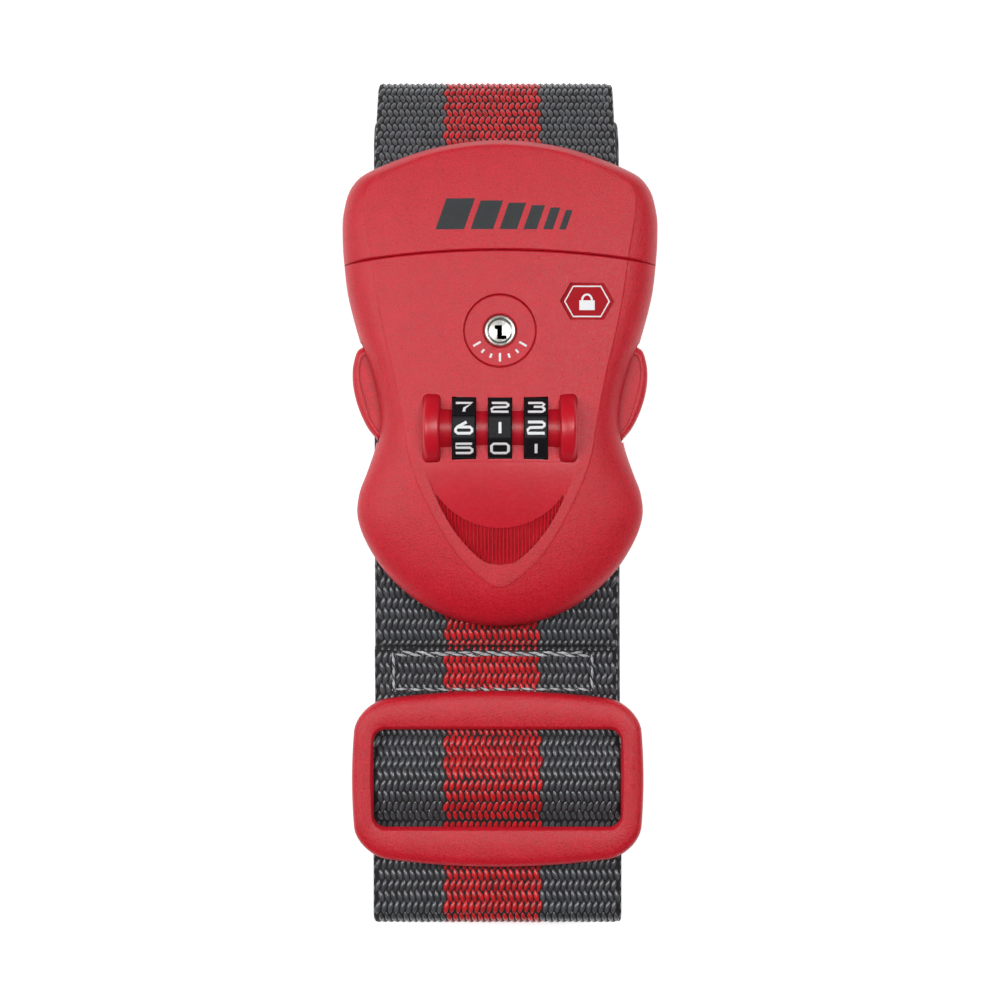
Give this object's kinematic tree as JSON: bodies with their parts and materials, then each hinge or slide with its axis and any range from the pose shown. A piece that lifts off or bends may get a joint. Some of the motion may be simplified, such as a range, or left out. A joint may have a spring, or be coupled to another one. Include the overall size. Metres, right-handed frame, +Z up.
{
  "type": "luggage strap",
  "caption": "Rolled luggage strap of striped webbing with a side-release combination buckle, key override and adjusting slider.",
  "frame": {"origin": "middle of the box around the whole strap, on the surface it lies on", "axes": "+X across the webbing to the right with the buckle's face up, +Y along the webbing towards the tongue, +Z up out of the buckle's face"},
  "size_m": [0.0626, 0.1736, 0.0387],
  "materials": {
    "shell_plastic": "fine matte moulded texture",
    "dial_plastic": "satin",
    "steel": "plain",
    "key_metal": "nickel plated, satin",
    "brass": "plain",
    "print_white": "printed",
    "webbing": "woven polyester with a centre stripe",
    "thread": "twisted sewing thread"
  },
  "bodies": {
    "housing": {"housing_front": "shell_plastic", "housing_back": "shell_plastic", "housing_screws": "steel", "web_bar": "steel", "dial_cradle": "shell_plastic", "dial_spindle": "steel", "spindle_spring": "steel", "detent_spring": "steel", "lock_plate_spring": "steel", "key_barrel": "key_metal", "key_disc": "shell_plastic", "emblem_inlay": "print_white", "link_webbing": "webbing", "strap_front": "webbing", "strap_roll": "webbing", "hem_stitches": "thread"},
    "dial_left_body": {"dial_left": "dial_plastic", "dial_sleeve_left": "steel"},
    "dial_middle_body": {"dial_middle": "dial_plastic", "dial_sleeve_middle": "steel"},
    "dial_right_body": {"dial_right": "dial_plastic", "dial_sleeve_right": "steel"},
    "lock_plate_body": {"lock_plate": "steel"},
    "key_body": {"key_plug": "key_metal", "key_wafers": "brass", "key_cam": "steel"},
    "reset_body": {"reset_pin": "dial_plastic"},
    "tongue": {"tongue_front": "shell_plastic", "tongue_back": "shell_plastic", "tongue_screws": "steel", "tongue_bar": "steel", "tongue_plate": "steel", "arm_pins": "steel", "arm_spring_left": "steel", "arm_spring_right": "steel", "strap_nose": "webbing"},
    "arm_left_body": {"release_arm_left": "shell_plastic"},
    "arm_right_body": {"release_arm_right": "shell_plastic"},
    "slider_body": {"slider_frame": "shell_plastic"}
  },
  "joints": [
    {"name": "dial_left_turn", "type": "hinge", "parent": "housing", "child": "dial_left_body", "pos_m": [-0.007, 0.014, 0.03125], "axis": [1, 0, 0], "continuous": true},
    {"name": "dial_middle_turn", "type": "hinge", "parent": "housing", "child": "dial_middle_body", "pos_m": [0, 0.014, 0.03125], "axis": [1, 0, 0], "continuous": true},
    {"name": "dial_right_turn", "type": "hinge", "parent": "housing", "child": "dial_right_body", "pos_m": [0.007, 0.014, 0.03125], "axis": [1, 0, 0], "continuous": true},
    {"name": "lock_plate_slide", "type": "slide", "parent": "housing", "child": "lock_plate_body", "axis": [0, -1, 0], "range_m": [-0.0026, 0], "deforming": ["lock_plate_spring"]},
    {"name": "key_turn", "type": "hinge", "parent": "housing", "child": "key_body", "pos_m": [0, 0.033, 0.03], "axis": [0, 0, 1], "range_deg": [0, 90]},
    {"name": "reset_press", "type": "slide", "parent": "housing", "child": "reset_body", "axis": [0, 0, 1], "range_m": [0, 0.0015], "stiffness_N_per_m": 300},
    {"name": "tongue_slide", "type": "slide", "parent": "housing", "child": "tongue", "axis": [0, 1, 0], "range_m": [0, 0.042], "deforming": ["release_arm_left", "release_arm_right"]},
    {"name": "release_left_press", "type": "hinge", "parent": "tongue", "child": "arm_left_body", "pos_m": [-0.0225, 0.052, 0.026], "axis": [0, 0, 1], "range_deg": [0, 8.5], "stiffness_Nm_per_rad": 0.3, "deforming": ["arm_spring_left"]},
    {"name": "release_right_press", "type": "hinge", "parent": "tongue", "child": "arm_right_body", "pos_m": [0.0225, 0.052, 0.026], "axis": [0, 0, -1], "range_deg": [0, 8.5], "stiffness_Nm_per_rad": 0.3, "deforming": ["arm_spring_right"]},
    {"name": "slider_tilt", "type": "hinge", "parent": "housing", "child": "slider_body", "pos_m": [-0.00045, -0.056, 0.0216], "axis": [1, 0, 0], "range_deg": [0, 6]}
  ]
}
